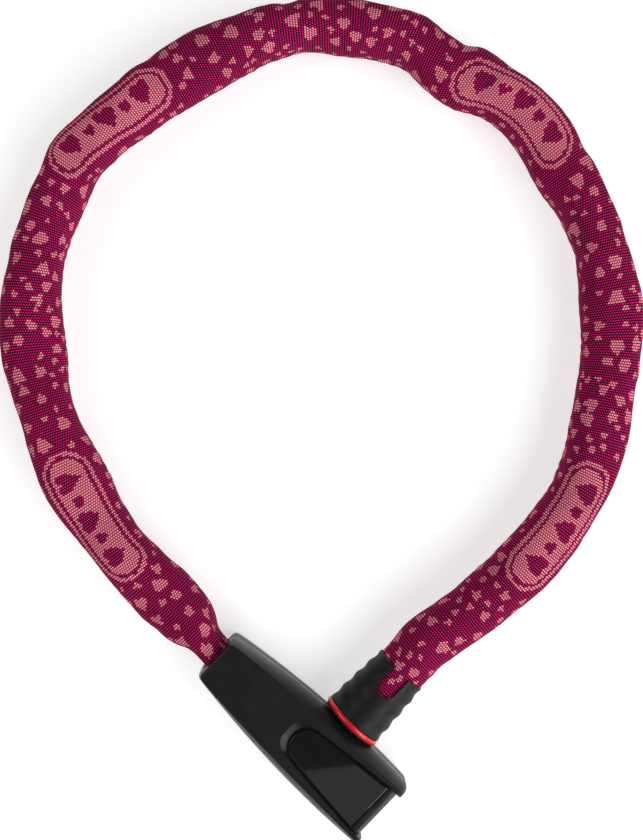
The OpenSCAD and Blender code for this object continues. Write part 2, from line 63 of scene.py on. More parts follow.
# Lock body: the height of the bolt's axis and of the parting line, and the body's outline
ZC = 16.0
BODY_T = 32.0
TAIL_X = -68.9
BELLY_X = 11.0
NOSE_X = 39.7
TAIL_HALF_W = 12.0
BELLY_SWELL = 7.3
NOSE_NARROWING = 1.1
TOP_TAIL_HALF_W = 10.2
TOP_SWELL = 5.6
TAIL_R = 2.0
NOSE_R = 2.7
TOP_NOSE_R = 1.7
TOP_SET_BACK = 2.0
SIDE_Z0 = 9.0
SIDE_Z1 = 23.0
WALL = 2.4
FLOOR_T = 3.4

# Its sleeve mouth, screws, end plate and inlay panel
SLOT_HALF_W = 7.9
SLOT_HALF_H = 13.4
SLOT_CORNER = 6.0
SCREW_SPOTS = [(-42.0, 10.6), (-42.0, -10.6), (24.0, 13.8), (24.0, -13.8)]
SCREW_HEAD_R = 2.35
SCREW_HEAD_DEPTH = 1.85
SCREW_HOLE_R = 1.35
PLATE_X0 = 31.2
PLATE_HALF_W = 13.2
PLATE_Z0 = 1.3
WING_R = 1.6
PANEL_X0 = -17.5
PANEL_X1 = 30.7
PANEL_HALF_W = 7.2
PANEL_SWELL = 5.2
PANEL_CORNER = 6.5
PANEL_T = 1.5

# Connector
RING_Y0 = 20.25
RING_T = 2.5
RING_R = 15.5
RING_HOLE_R = 12.9
RING_BULGE = 0.95
COLLAR_R = 14.85
COLLAR_HOLE_R = 6.65
COLLAR_T = 0.8
GRIP_Y0 = 22.8
GRIP_LEN = 32.4
GRIP_R0 = 15.2
GRIP_R1 = 13.4
GRIP_BORE_R = 12.5
RIB_PITCH = 8.2
RIB_DEPTH = 0.75
NOTCH_ROLL = -4.0
NOTCH_W = 9.6
NOTCH_DEPTH = 13.8
NOTCH_CORNER = 3.4
NOTCH_FLARE = 1.2

# Chain
PITCH = 32.8
LINK_LONG = 41.0
LINK_SHORT = 24.6
ANCHOR = (-60.0, 0.0)
LINK_PIN = (0.0, 42.0)
LOOP_END = (0.0, 66.6)
FIRST_HEADING = 178.0
TURNS = [2, 4, 8, 11, 11, 13, 15, 15, 14, 11, 11, 15, 17, 15, 12, 13, 13, 12, 11, 12, 13, 14, 11, 2]
LINKS = len(TURNS) + 2


# ------------------------------------------------------------------ Camera, floor and light

# Metres
CAMERA_PLACE = (-0.1094, 0.1146, 0.576)
PICTURE_RIGHT = (0.7227, 0.691, 0.0)
FLOOR_HALF = 9.0
FLOOR_PLACE = (-0.1, 0.1, -0.0002)


def add_camera():
    """Looks straight down, with the picture's upward direction turned towards -X and +Y."""
    camera = bpy.data.objects.new("Camera", bpy.data.cameras.new("Camera"))
    camera.data.lens = 50.4
    camera.data.sensor_width = 36.0
    camera.data.clip_end = 20.0
    right = Vector(PICTURE_RIGHT).normalized()
    up = Vector((-right.y, right.x, 0.0))
    turn = Matrix((right, up, Vector((0, 0, 1)))).transposed().to_4x4()
    camera.matrix_world = Matrix.Translation(CAMERA_PLACE) @ turn
    bpy.context.collection.objects.link(camera)
    bpy.context.scene.camera = camera


def add_area_light(name, place, target, size, power):
    light = bpy.data.lights.new(name, "AREA")
    light.shape = "SQUARE"
    light.size = size
    light.energy = power
    ob = bpy.data.objects.new(name, light)
    ob.location = place
    ob.rotation_euler = (Vector(target) - Vector(place)).to_track_quat("-Z", "Y").to_euler()
    bpy.context.collection.objects.link(ob)
    return ob


def add_world(zenith, walls, backdrop):
    """A studio that is dim overhead, paler at the walls and bright at the horizon, so that flat
    tops stay dark. Each band goes from one strength to another between two heights, where the
    horizon is 0 and straight up is 1, and the bands add up."""
    world = bpy.data.worlds.new("Studio")
    bpy.context.scene.world = world
    world.use_nodes = True
    tree = world.node_tree
    split = tree.nodes.new("ShaderNodeSeparateXYZ")
    tree.links.new(tree.nodes.new("ShaderNodeTexCoord").outputs["Generated"], split.inputs[0])
    total = tree.nodes.new("ShaderNodeMath")
    bands = ((0.55, 1.0, walls, zenith), (0.0, 0.22, backdrop, 0.0))
    for k, settings in enumerate(bands):
        height = tree.nodes.new("ShaderNodeMapRange")
        height.interpolation_type = "SMOOTHSTEP"
        for value, socket in zip(settings, height.inputs[1:5]):
            socket.default_value = value
        tree.links.new(split.outputs[2], height.inputs[0])
        tree.links.new(height.outputs[0], total.inputs[k])
    background = tree.nodes["Background"]
    background.inputs["Color"].default_value = (1, 1, 1, 1)
    tree.links.new(total.outputs[0], background.inputs["Strength"])


def add_floor(material):
    mesh = bpy.data.meshes.new("Floor")
    corners = [(x * FLOOR_HALF, y * FLOOR_HALF, 0) for x, y in ((-1, -1), (1, -1), (1, 1), (-1, 1))]
    mesh.from_pydata(corners, [], [(0, 1, 2, 3)])
    mesh.materials.append(material)
    floor = bpy.data.objects.new("Floor", mesh)
    floor.location = FLOOR_PLACE
    bpy.context.collection.objects.link(floor)


# ------------------------------------------------------------------ Shader nodes


class Shader:
    """One material with one Principled shader, and short calls for the nodes that feed it."""

    def __init__(self, name, color, roughness, metallic=0.0, **sockets):
        self.material = bpy.data.materials.new(name)
        self.material.use_nodes = True
        self.tree = self.material.node_tree
        self.bsdf = next(n for n in self.tree.nodes if n.type == "BSDF_PRINCIPLED")
        self.bsdf.inputs["Base Color"].default_value = (*color, 1.0)
        self.bsdf.inputs["Roughness"].default_value = roughness
        self.bsdf.inputs["Metallic"].default_value = metallic
        for key, value in sockets.items():
            self.bsdf.inputs[key.replace("_", " ")].default_value = value

    def node(self, kind, **settings):
        made = self.tree.nodes.new("ShaderNode" + kind)
        for key, value in settings.items():
            setattr(made, key, value)
        return made

    def feed(self, value, socket):
        if isinstance(value, bpy.types.NodeSocket):
            self.tree.links.new(value, socket)
        else:
            socket.default_value = value

    def math(self, operation, a, b=0.0, clamp=False):
        made = self.node("Math", operation=operation, use_clamp=clamp)
        for value, socket in zip((a, b), made.inputs):
            self.feed(value, socket)
        return made.outputs[0]

    def mix(self, factor, a, b, blend="MIX"):
        made = self.node("Mix", data_type="RGBA", blend_type=blend)
        self.feed(factor, made.inputs["Factor"])
        for value, socket in ((a, made.inputs[6]), (b, made.inputs[7])):
            self.feed(value if isinstance(value, bpy.types.NodeSocket) else (*value, 1.0), socket)
        return made.outputs[2]

    def span(self, value, low, high, to_low=0.0, to_high=1.0, smooth=False):
        made = self.node("MapRange", interpolation_type="SMOOTHSTEP" if smooth else "LINEAR")
        for v, socket in zip((value, low, high, to_low, to_high), made.inputs):
            self.feed(v, socket)
        return made.outputs[0]

    def place(self, stretch=(1, 1, 1)):
        """The point on the piece, in metres, with each axis stretched."""
        point = self.node("TexCoord").outputs["Object"]
        made = self.node("Mapping")
        self.tree.links.new(point, made.inputs["Vector"])
        made.inputs["Scale"].default_value = stretch
        return made.outputs["Vector"]

    def noise(self, scale, detail=2.0, vector=None):
        made = self.node("TexNoise")
        made.inputs["Scale"].default_value = scale
        made.inputs["Detail"].default_value = detail
        self.tree.links.new(vector or self.place(), made.inputs["Vector"])
        return made.outputs["Fac"]

    def bump(self, height, distance, strength=1.0):
        made = self.node("Bump")
        made.inputs["Distance"].default_value = distance
        made.inputs["Strength"].default_value = strength
        self.tree.links.new(height, made.inputs["Height"])
        self.tree.links.new(made.outputs["Normal"], self.bsdf.inputs["Normal"])

    def color(self, socket):
        self.tree.links.new(socket, self.bsdf.inputs["Base Color"])

    def rough(self, socket):
        self.tree.links.new(socket, self.bsdf.inputs["Roughness"])


def moulded_plastic(name, dark, light, roughness, grain, depth, specular=0.4, spread=0.055, wear=0.0):
    """Moulded plastic or rubber: a fine erosion texture, with its grain and depth in metres, a
    roughness that strays by `spread`, and edges that are paler by `wear`."""
    s = Shader(name, dark, roughness, Specular_IOR_Level=specular)
    fine = s.noise(1 / grain, 3.0)
    broad = s.noise(90.0, 3.0)
    tone = s.mix(s.span(broad, 0.35, 0.7), dark, light)
    if wear > 0:
        worn = s.span(s.node("NewGeometry").outputs["Pointiness"], 0.52, 0.62)
        tone = s.mix(s.math("MULTIPLY", worn, wear), tone, tuple(3 * c + 0.01 for c in light))
    s.color(tone)
    s.rough(s.span(s.noise(160.0, 4.0), 0.3, 0.7, roughness - spread, roughness + spread))
    s.bump(fine, depth)
    return s.material


def metal(name, dark, light, roughness, stretch, depth, scratches=0.08):
    """Worked metal with cloudy tarnish and fine lines, which `stretch` packs closer along an axis.
    The lines are `depth` metres deep, and they make the gloss uneven by `scratches`."""
    s = Shader(name, light, roughness, metallic=1.0)
    lines = s.noise(900.0, 4.0, s.place(stretch))
    cloud = s.noise(140.0, 4.0)
    s.color(s.mix(s.span(cloud, 0.3, 0.7), dark, light))
    uneven = s.math("MULTIPLY", s.math("SUBTRACT", lines, 0.5), scratches * 2)
    s.rough(s.math("ADD", s.span(cloud, 0.3, 0.7, roughness + 0.06, roughness - 0.04), uneven))
    s.bump(lines, depth)
    return s.material


# ------------------------------------------------------------------ The woven sleeve's material

# Millimetres round the sleeve, as its maps count them, and between yarn crossings round and along
AROUND = 88.0
WARP_PITCH = AROUND / 74
ROW_PITCH = 1.22
# How steeply a crossing's crown falls off round and along the sleeve
CROWN_ROUND = 2.1
CROWN_ALONG = 2.3
# A badge is a pill with a light rim and a dark ring inside the rim
BADGE_HALF_LENGTH = 34.5
BADGE_HALF_WIDTH = 11.8
BADGE_RIM = 2.1
BADGE_RING = 1.5


def woven_textile():
    """Jacquard weave: raised yarn crossings in brick rows, in magenta over burgundy or in pink
    over rose where the motif is. The motif is read at the middle of each crossing, so that its
    edges step from yarn to yarn. Each map holds millimetres: `weave` has the way round and
    along the sleeve, `motif` the way from the nearest heart, `turn` that heart's turn and size,
    and `badge` the way from the nearest badge."""
    s = Shader("woven_textile", (0.3, 0.01, 0.1), 0.86, Sheen_Weight=0.04, Sheen_Roughness=0.5,
               Sheen_Tint=(0.9, 0.2, 0.5, 1.0), Specular_IOR_Level=0.05)

    def parts(layer):
        uv = s.node("UVMap", uv_map=layer).outputs["UV"]
        split = s.node("SeparateXYZ")
        s.tree.links.new(uv, split.inputs[0])
        return split.outputs[0], split.outputs[1]

    round_way, along = parts("weave")
    warp = s.math("DIVIDE", round_way, WARP_PITCH)
    row = s.math("DIVIDE", along, ROW_PITCH)
    row_index = s.math("FLOOR", row)
    in_row = s.math("SUBTRACT", s.math("FRACT", row), 0.5)
    shifted = s.math("ADD", warp, s.math("MULTIPLY", s.math("MODULO", row_index, 2.0), 0.5))
    in_warp = s.math("SUBTRACT", s.math("FRACT", shifted), 0.5)
    across2 = s.math("POWER", s.math("MULTIPLY", in_warp, CROWN_ROUND), 2.0)
    down2 = s.math("POWER", s.math("MULTIPLY", in_row, CROWN_ALONG), 2.0)
    crown = s.math("SUBTRACT", 1.0, s.math("ADD", across2, down2), clamp=True)
    yarn = s.span(crown, 0.28, 0.62, smooth=True)

    def at_crossing(layer):
        x, y = parts(layer)
        return (s.math("SUBTRACT", x, s.math("MULTIPLY", in_warp, WARP_PITCH)),
                s.math("SUBTRACT", y, s.math("MULTIPLY", in_row, ROW_PITCH)))

    # Heart: x2 + (y + 0.15 - 0.8 sqrt |x|)2 < 1, in the heart's own turned and scaled axes
    hx, hy = at_crossing("motif")
    angle, size = parts("turn")
    joined = s.node("CombineXYZ")
    s.feed(hx, joined.inputs[0])
    s.feed(hy, joined.inputs[1])
    turned = s.node("VectorRotate", rotation_type="Z_AXIS")
    s.tree.links.new(joined.outputs[0], turned.inputs["Vector"])
    s.tree.links.new(angle, turned.inputs["Angle"])
    split = s.node("SeparateXYZ")
    s.tree.links.new(turned.outputs[0], split.inputs[0])
    x = s.math("DIVIDE", split.outputs[0], size)
    y = s.math("DIVIDE", split.outputs[1], size)
    arch = s.math("MULTIPLY", s.math("SQRT", s.math("ABSOLUTE", x)), 0.8)
    lifted = s.math("SUBTRACT", y, s.math("SUBTRACT", arch, 0.15))
    heart = s.math("LESS_THAN", s.math("ADD", s.math("MULTIPLY", x, x),
                                       s.math("MULTIPLY", lifted, lifted)), 1.0)

    # Badge: distance inside a pill's edge
    bx, by = at_crossing("badge")
    straight = BADGE_HALF_LENGTH - BADGE_HALF_WIDTH
    past = s.math("MAXIMUM", s.math("SUBTRACT", s.math("ABSOLUTE", by), straight), 0.0)
    reach = s.math("SQRT", s.math("ADD", s.math("MULTIPLY", bx, bx), s.math("MULTIPLY", past, past)))
    inside = s.math("SUBTRACT", BADGE_HALF_WIDTH, reach)
    pill = s.math("GREATER_THAN", inside, 0.0)
    dark_ring = s.math("MULTIPLY", s.math("GREATER_THAN", inside, BADGE_RIM),
                       s.math("LESS_THAN", inside, BADGE_RIM + BADGE_RING))
    solid = s.math("MULTIPLY", pill, s.math("SUBTRACT", 1.0, dark_ring))
    # Pink where either the badge or a heart is, but not both
    pink = s.math("ABSOLUTE", s.math("SUBTRACT", solid, heart))

    drift = s.noise(45.0, 3.0)
    ground = s.mix(yarn, (0.012, 0.0003, 0.007), (0.57, 0.015, 0.143))
    motif = s.mix(yarn, (0.30, 0.010, 0.055), (0.96, 0.38, 0.43))
    cloth = s.mix(pink, ground, motif)
    shade = s.span(drift, 0.3, 0.7, 0.88, 1.08)
    tint = s.node("CombineColor")
    for socket in tint.inputs[:3]:
        s.tree.links.new(shade, socket)
    s.color(s.mix(1.0, cloth, tint.outputs[0], blend="MULTIPLY"))
    s.rough(s.span(yarn, 0.0, 1.0, 0.95, 0.74))
    s.bump(crown, 0.00014, 0.7)
    return s.material


# ------------------------------------------------------------------ Mesh helpers


def smoothstep(x):
    x = min(1.0, max(0.0, x))
    return x * x * (3 - 2 * x)


def link_rings(bm, rings):
    """Adds closed rings of equal count, in millimetres, and joins each to the next by quads."""
    rows = [[bm.verts.new(Vector(p) * MM) for p in ring] for ring in rings]
    for a, b in zip(rows, rows[1:]):
        join_rows(bm, a, b)
    return rows


def join_rows(bm, a, b):
    """Quads from one closed row of points to the next."""
    n = len(a)
    for k in range(n):
        bm.faces.new((a[k], a[(k + 1) % n], b[(k + 1) % n], b[k]))


def ring_loft(rings, strips=False):
    """A solid through closed rings, with flat ends. `strips` fills the last ring, which is
    mirrored, with strips from side to side, because gloss would show one big face."""
    bm = bmesh.new()
    rows = link_rings(bm, rings)
    top = rows[-1]
    n = len(top)
    bm.faces.new(list(reversed(rows[0])))
    if strips:
        for k in range(n // 2 - 1):
            bm.faces.new((top[k], top[k + 1], top[n - 2 - k], top[n - 1 - k]))
    else:
        bm.faces.new(top)
    bmesh.ops.recalc_face_normals(bm, faces=bm.faces)
    return bm


def hollow_loft(rings):
    """A solid with a hole through it: closed rings, of which the last is joined to the first."""
    bm = bmesh.new()
    rows = link_rings(bm, rings)
    join_rows(bm, rows[-1], rows[0])
    bmesh.ops.recalc_face_normals(bm, faces=bm.faces)
    return bm


def turned_ring(radius, y, steps):
    """A ring about the bolt's axis, where `radius` takes the angle and gives the radius."""
    angles = [2 * math.pi * k / steps for k in range(steps)]
    return [(radius(a) * math.cos(a), y, ZC + radius(a) * math.sin(a)) for a in angles]


def turned_profile(profile, steps):
    """Rings about the bolt's axis through (radius, distance along Y) points."""
    return [turned_ring(lambda a, r=r: r, y, steps) for r, y in profile]


def to_object(bm, name="cutter"):
    mesh = bpy.data.meshes.new(name)
    bm.to_mesh(mesh)
    bm.free()
    ob = bpy.data.objects.new(name, mesh)
    bpy.context.collection.objects.link(ob)
    return ob


def apply_modifiers(ob):
    """Leaves the object with its evaluated mesh and no modifiers."""
    bpy.context.view_layer.update()
    mesh = bpy.data.meshes.new_from_object(ob.evaluated_get(bpy.context.evaluated_depsgraph_get()))
    ob.modifiers.clear()
    old = ob.data
    ob.data = mesh
    bpy.data.meshes.remove(old)


def cut(ob, cutters):
    for cutter in cutters:
        modifier = ob.modifiers.new("cut", "BOOLEAN")
        modifier.operation = "DIFFERENCE"
        modifier.solver = "EXACT"
        modifier.object = cutter
    apply_modifiers(ob)
    for cutter in cutters:
        mesh = cutter.data
        bpy.data.objects.remove(cutter)
        bpy.data.meshes.remove(mesh)


def round_edges(ob, width):
    modifier = ob.modifiers.new("round", "BEVEL")
    modifier.width = width * MM
    modifier.segments = 2
    modifier.limit_method = "ANGLE"
    modifier.angle_limit = math.radians(35.0)
    modifier.use_clamp_overlap = True
    modifier.harden_normals = False
    apply_modifiers(ob)


def shade(ob, angle):
    """Smooth shading with sharp edges above an angle."""
    mesh = ob.data
    mesh.polygons.foreach_set("use_smooth", [True] * len(mesh.polygons))
    mesh.set_sharp_from_angle(angle=math.radians(angle))


def dress(ob, material, body, replaced, angle=32.0):
    """Gives a built object its shading, material, slot, body and the CAD nodes it stands for."""
    shade(ob, angle)
    ob.data.materials.clear()
    ob.data.materials.append(material)
    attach(ob, body)
    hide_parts(*replaced)


def crisp_rims(ob, many=30):
    """Marks the edges of the big flat faces sharp, so that slopes beside them don't shade them."""
    bm = bmesh.new()
    bm.from_mesh(ob.data)
    for edge in bm.edges:
        faces = edge.link_faces
        if len(faces) == 2 and max(len(f.verts) for f in faces) > many:
            if edge.calc_face_angle() > math.radians(2):
                edge.smooth = False
    bm.to_mesh(ob.data)
    bm.free()


def prism(outline, z0, z1):
    """A straight prism over a plan outline."""
    return ring_loft([[(x, y, z0) for x, y in outline], [(x, y, z1) for x, y in outline]])


def round_cutter(x, y, r, z0, z1, steps=48):
    ring = [(x + r * math.cos(a), y + r * math.sin(a))
            for a in (2 * math.pi * k / steps for k in range(steps))]
    return to_object(prism(ring, z0, z1))


# ------------------------------------------------------------------ Lock body shell


def side_w(x):
    """The body's half width at its sides, which is largest at the belly."""
    if x < BELLY_X:
        share = max(0.0, x - TAIL_X) / (BELLY_X - TAIL_X)
        return TAIL_HALF_W + BELLY_SWELL * math.sin(math.pi / 2 * share) ** 0.8
    share = (x - BELLY_X) / (NOSE_X - BELLY_X)
    return TAIL_HALF_W + BELLY_SWELL - NOSE_NARROWING * share ** 2


def top_w(x):
    """The half width of the body's flat top."""
    return TOP_TAIL_HALF_W + TOP_SWELL * math.sqrt(max(0.0, x - TAIL_X) / (NOSE_X - TAIL_X))


def body_ring(share, inset, z, steps=64, corner=10):
    """The body's outline at one height: `share` goes from the side outline to the top outline."""
    x0 = TAIL_X + inset + 0.6 * share
    x1 = NOSE_X - inset - TOP_SET_BACK * share
    nose_r = NOSE_R + (TOP_NOSE_R - NOSE_R) * share
    arc = [1 - math.cos(math.pi / 2 * k / corner) for k in range(corner + 1)]
    xs = [x0 + TAIL_R * d for d in arc]
    xs += [x0 + TAIL_R + (x1 - x0 - TAIL_R - nose_r) * k / steps for k in range(1, steps)]
    xs += [x1 - nose_r * d for d in reversed(arc)]

    def half(x):
        w = (1 - share) * side_w(x) + share * top_w(x) - inset
        for d, r in ((x - x0, TAIL_R), (x1 - x, nose_r)):
            if d < r:
                w -= r - math.sqrt(max(0.0, r ** 2 - (r - d) ** 2))
        return w

    side = [(x, half(x)) for x in xs]
    across = 8
    nose = [(x1, side[-1][1] * (1 - 2 * k / across)) for k in range(1, across)]
    tail = [(x0, -side[0][1] * (1 - 2 * k / across)) for k in range(1, across)]
    return [(x, y, z) for x, y in side + nose + [(x, -y) for x, y in reversed(side)] + tail]


def bend(a, b, c, steps):
    """Points of a soft corner from a to c, with b as its sharp corner."""
    out = []
    for k in range(steps + 1):
        t = k / steps
        out.append(tuple((1 - t) ** 2 * p + 2 * t * (1 - t) * q + t * t * r
                         for p, q, r in zip(a, b, c)))
    return out


def shell_profile():
    """(share, inset, height) from the parting line up to the top face."""
    lip = [(0.0, 0.22, ZC), (0.0, 0.08, ZC + 0.08), (0.0, 0.0, ZC + 0.25)]
    side = bend((0.0, 0.0, SIDE_Z1 - 4.0), (0.0, -0.3, SIDE_Z1 + 3.0), (0.97, 0.1, BODY_T - 0.6), 16)
    step = bend((1.0, 0.5, BODY_T - 0.5), (1.0, 0.55, BODY_T), (1.0, 1.2, BODY_T), 4)
    return lip + side + step + [(1.0, 1.7, BODY_T), (1.0, 2.4, BODY_T)]


def panel_half_w(x):
    return PANEL_HALF_W + PANEL_SWELL * (max(0.0, x - PANEL_X0) / (PANEL_X1 - PANEL_X0)) ** 0.8


def panel_ring(grow, tail_grow, z):
    """The inlay's outline, grown all round: round at the tail end, straight at the nose end."""
    r = PANEL_CORNER
    x0 = PANEL_X0 - tail_grow
    x1 = PANEL_X1 + grow
    xs = [x0 + r * (1 - math.cos(math.pi / 2 * k / 16)) for k in range(17)]
    xs += [x0 + r + (x1 - x0 - r) * k / 28 for k in range(1, 29)]
    half = []
    for x in xs:
        d = x - x0
        less = r - math.sqrt(max(0.0, r * r - (r - d) ** 2)) if d < r else 0.0
        half.append(panel_half_w(x) + grow - less)
    points = list(zip(xs, half))
    return [(x, y, z) for x, y in points] + [(x, -y, z) for x, y in reversed(points)]


def slot_ring(x, grow, steps=8):
    """The sleeve mouth's outline at one X, an upright rounded slot, grown all round."""
    r = SLOT_CORNER + grow
    y, z = SLOT_HALF_W - SLOT_CORNER, SLOT_HALF_H - SLOT_CORNER
    out = []
    for sy, sz, start in ((1, 1, 0), (-1, 1, 90), (-1, -1, 180), (1, -1, 270)):
        for k in range(steps + 1):
            a = math.radians(start + 90 * k / steps)
            out.append((x, sy * y + r * math.cos(a), ZC + sz * z + r * math.sin(a)))
    return out


def opening_cutters():
    """What both halves of the shell leave open: the inside, the bolt hole, the sleeve mouth with
    its flared rim, and the gap for the end plate, between two wings with rounded edges."""
    cavity = [body_ring(share, WALL, z, 32, 6) for share, z in
              ((1.0, FLOOR_T), (0.0, SIDE_Z0), (0.0, SIDE_Z1), (1.0, BODY_T - FLOOR_T))]
    bolt_hole = [(9.3, 4.0), (9.3, 18.4), (9.5, 19.0), (10.4, 19.9), (10.4, 24.0)]
    mouth = [slot_ring(TAIL_X + x, grow) for x, grow in
             ((3.4, 0.0), (0.7, 0.0), (0.2, 0.25), (-0.4, 0.9), (-2.0, 0.9))]
    gap_w = PLATE_HALF_W + 0.1
    flare = [(NOSE_X - WING_R + WING_R * math.sin(a), gap_w + WING_R * (1 - math.cos(a)))
             for a in (math.pi / 2 * k / 8 for k in range(9))]
    edge = [(PLATE_X0 - 0.1, gap_w)] + flare + [(NOSE_X + 3, gap_w + WING_R)]
    end = edge + [(x, -y) for x, y in reversed(edge)]
    return [to_object(ring_loft(cavity)), to_object(ring_loft(turned_profile(bolt_hole, 96))),
            to_object(ring_loft(mouth)), to_object(prism(end, PLATE_Z0, BODY_T + 3))]


def case_upper(material):
    """The upper shell, with a pocket for the inlay panel that has a sloping rim at its tail end."""
    rings = [body_ring(*p) for p in shell_profile()]
    ob = to_object(ring_loft(rings), "Upper_shell")
    pocket = [panel_ring(0.25, 0.25, BODY_T - 1.75), panel_ring(0.5, 0.7, BODY_T - 1.6),
              panel_ring(0.9, 2.4, BODY_T - 0.9), panel_ring(1.2, 3.7, BODY_T - 0.25),
              panel_ring(1.45, 4.3, BODY_T + 0.02), panel_ring(1.45, 4.3, BODY_T + 2)]
    cut(ob, opening_cutters() + [to_object(ring_loft(pocket))])
    dress(ob, material, "lock_body", ["case_upper"])
    crisp_rims(ob)


def case_lower(material):
    """The lower shell, the upper one's mirror image, with four counterbored screw holes."""
    rings = [body_ring(share, inset, BODY_T - z) for share, inset, z in shell_profile()]
    ob = to_object(ring_loft(rings), "Lower_shell")
    cutters = opening_cutters()
    for x, y in SCREW_SPOTS:
        cutters.append(round_cutter(x, y, SCREW_HEAD_R, -1.0, SCREW_HEAD_DEPTH))
        cutters.append(round_cutter(x, y, SCREW_HOLE_R, 0.5, FLOOR_T + 1))
    cut(ob, cutters)
    dress(ob, material, "lock_body", ["case_lower"])


def inlay(material):
    """The gloss panel in the upper shell, with a rounded rim, just below the shell's top."""
    z1 = BODY_T - 0.15
    rings = [panel_ring(-d, -d, z) for d, z in
             ((0, BODY_T - PANEL_T), (0, z1 - 0.35), (0.1, z1 - 0.1), (0.35, z1), (0.6, z1), (1.2, z1))]
    ob = to_object(ring_loft(rings, strips=True), "Inlay_panel")
    dress(ob, material, "lock_body", ["inlay_panel"])


def rounded_copy(node, name, width, material, body):
    """A copy of a CAD node with its flat faces made whole and its edges rounded."""
    ob = bpy.data.objects.new(name, frame["nodes"][node].data.copy())
    bpy.context.collection.objects.link(ob)
    bm = bmesh.new()
    bm.from_mesh(ob.data)
    bmesh.ops.remove_doubles(bm, verts=bm.verts, dist=1e-6)
    bmesh.ops.dissolve_limit(bm, angle_limit=math.radians(1.0), verts=bm.verts, edges=bm.edges)
    bm.to_mesh(ob.data)
    bm.free()
    round_edges(ob, width)
    dress(ob, material, body, [node])


# ------------------------------------------------------------------ Connector


def red_ring(material):
    """A thin ring with a half-round outside."""
    y1 = RING_Y0 + RING_T
    middle = (RING_Y0 + y1) / 2
    rim = RING_R - RING_BULGE
    profile = [(RING_HOLE_R, RING_Y0), (rim, RING_Y0)]
    profile += [(rim + RING_BULGE * math.sin(a), middle - (RING_T / 2) * math.cos(a))
                for a in (math.pi * k / 16 for k in range(1, 16))]
    profile += [(rim, y1), (RING_HOLE_R, y1)]
    ob = to_object(hollow_loft(turned_profile(profile, 160)), "Red_ring")
    dress(ob, material, "connector", ["red_ring"], 50)


def collar(material):
    """The rubber face of the connector, between the red ring and the case."""
    r0, r1, y0 = COLLAR_HOLE_R, COLLAR_R, RING_Y0 - COLLAR_T
    profile = [(r0, RING_Y0), (r0, y0 + 0.15), (r0 + 0.15, y0), (r1 - 0.55, y0),
               (r1 - 0.15, y0 + 0.12), (r1, y0 + 0.4), (r1, RING_Y0)]
    ob = to_object(hollow_loft(turned_profile(profile, 128)), "Collar")
    shade(ob, 40)
    ob.data.materials.append(material)
    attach(ob, "connector")


def grip_radius(t, a):
    """The grip's outside at a distance from its ring end and an angle: it tapers, its ribs die
    out towards the top and the underside, and both of its edges are eased."""
    fade = smoothstep((abs(math.cos(a)) - 0.35) / 0.45)
    rib = RIB_DEPTH * (1 - math.cos(2 * math.pi * t / RIB_PITCH)) / 2
    taper = GRIP_R0 + (GRIP_R1 - GRIP_R0) * (t / GRIP_LEN) ** 1.1
    ease = max(0.0, 0.7 - t) / 0.7 + max(0.0, t - (GRIP_LEN - 0.9)) / 0.9
    return taper - rib * fade - 0.05 - 0.55 * ease * ease


def notch_cutter():
    """The notch at the grip's mouth, with a round bottom and rounded upper corners."""
    y1 = GRIP_Y0 + GRIP_LEN
    y0 = y1 - NOTCH_DEPTH
    w, r, flare = NOTCH_W / 2, NOTCH_CORNER, NOTCH_FLARE
    outline = [(w + flare + 0.4, y1 + 2), (w + flare, y1 + 0.2)]
    outline += [(w + flare * (1 - math.sin(a)), y1 + 0.2 - 2.0 * (1 - math.cos(a)))
                for a in (math.pi / 2 * k / 6 for k in range(1, 7))]
    outline += [(w - r + r * math.cos(a), y0 + r - r * math.sin(a))
                for a in (math.pi / 2 * k / 8 for k in range(9))]
    outline += [(-x, y) for x, y in reversed(outline)]
    roll = Matrix.Rotation(math.radians(NOTCH_ROLL), 3, "Y")
    rings = [[tuple(roll @ Vector((x, y, z)) + Vector((0, 0, ZC))) for x, y in outline]
             for z in (4.0, 20.0)]
    return to_object(ring_loft(rings))


def grip(material):
    """A tapered rubber grip with finger ribs at its two sides and a bore for the sleeve."""
    steps_a, steps_t = 144, 66
    lengths = [GRIP_LEN * k / steps_t for k in range(steps_t + 1)]
    rings = [turned_ring(lambda a, t=t: grip_radius(t, a), GRIP_Y0 + t, steps_a) for t in lengths]
    bore = [(GRIP_BORE_R + 0.25, GRIP_LEN), (GRIP_BORE_R, GRIP_LEN - 0.5), (GRIP_BORE_R, 6.0),
            (RING_HOLE_R + 0.1, 6.0), (RING_HOLE_R + 0.1, 0.0)]
    rings += turned_profile([(r, GRIP_Y0 + t) for r, t in bore], steps_a)
    ob = to_object(hollow_loft(rings), "Grip")
    cut(ob, [notch_cutter()])
    dress(ob, material, "connector", ["grip_sleeve"], 40)


# ------------------------------------------------------------------ The sleeve's route and shape

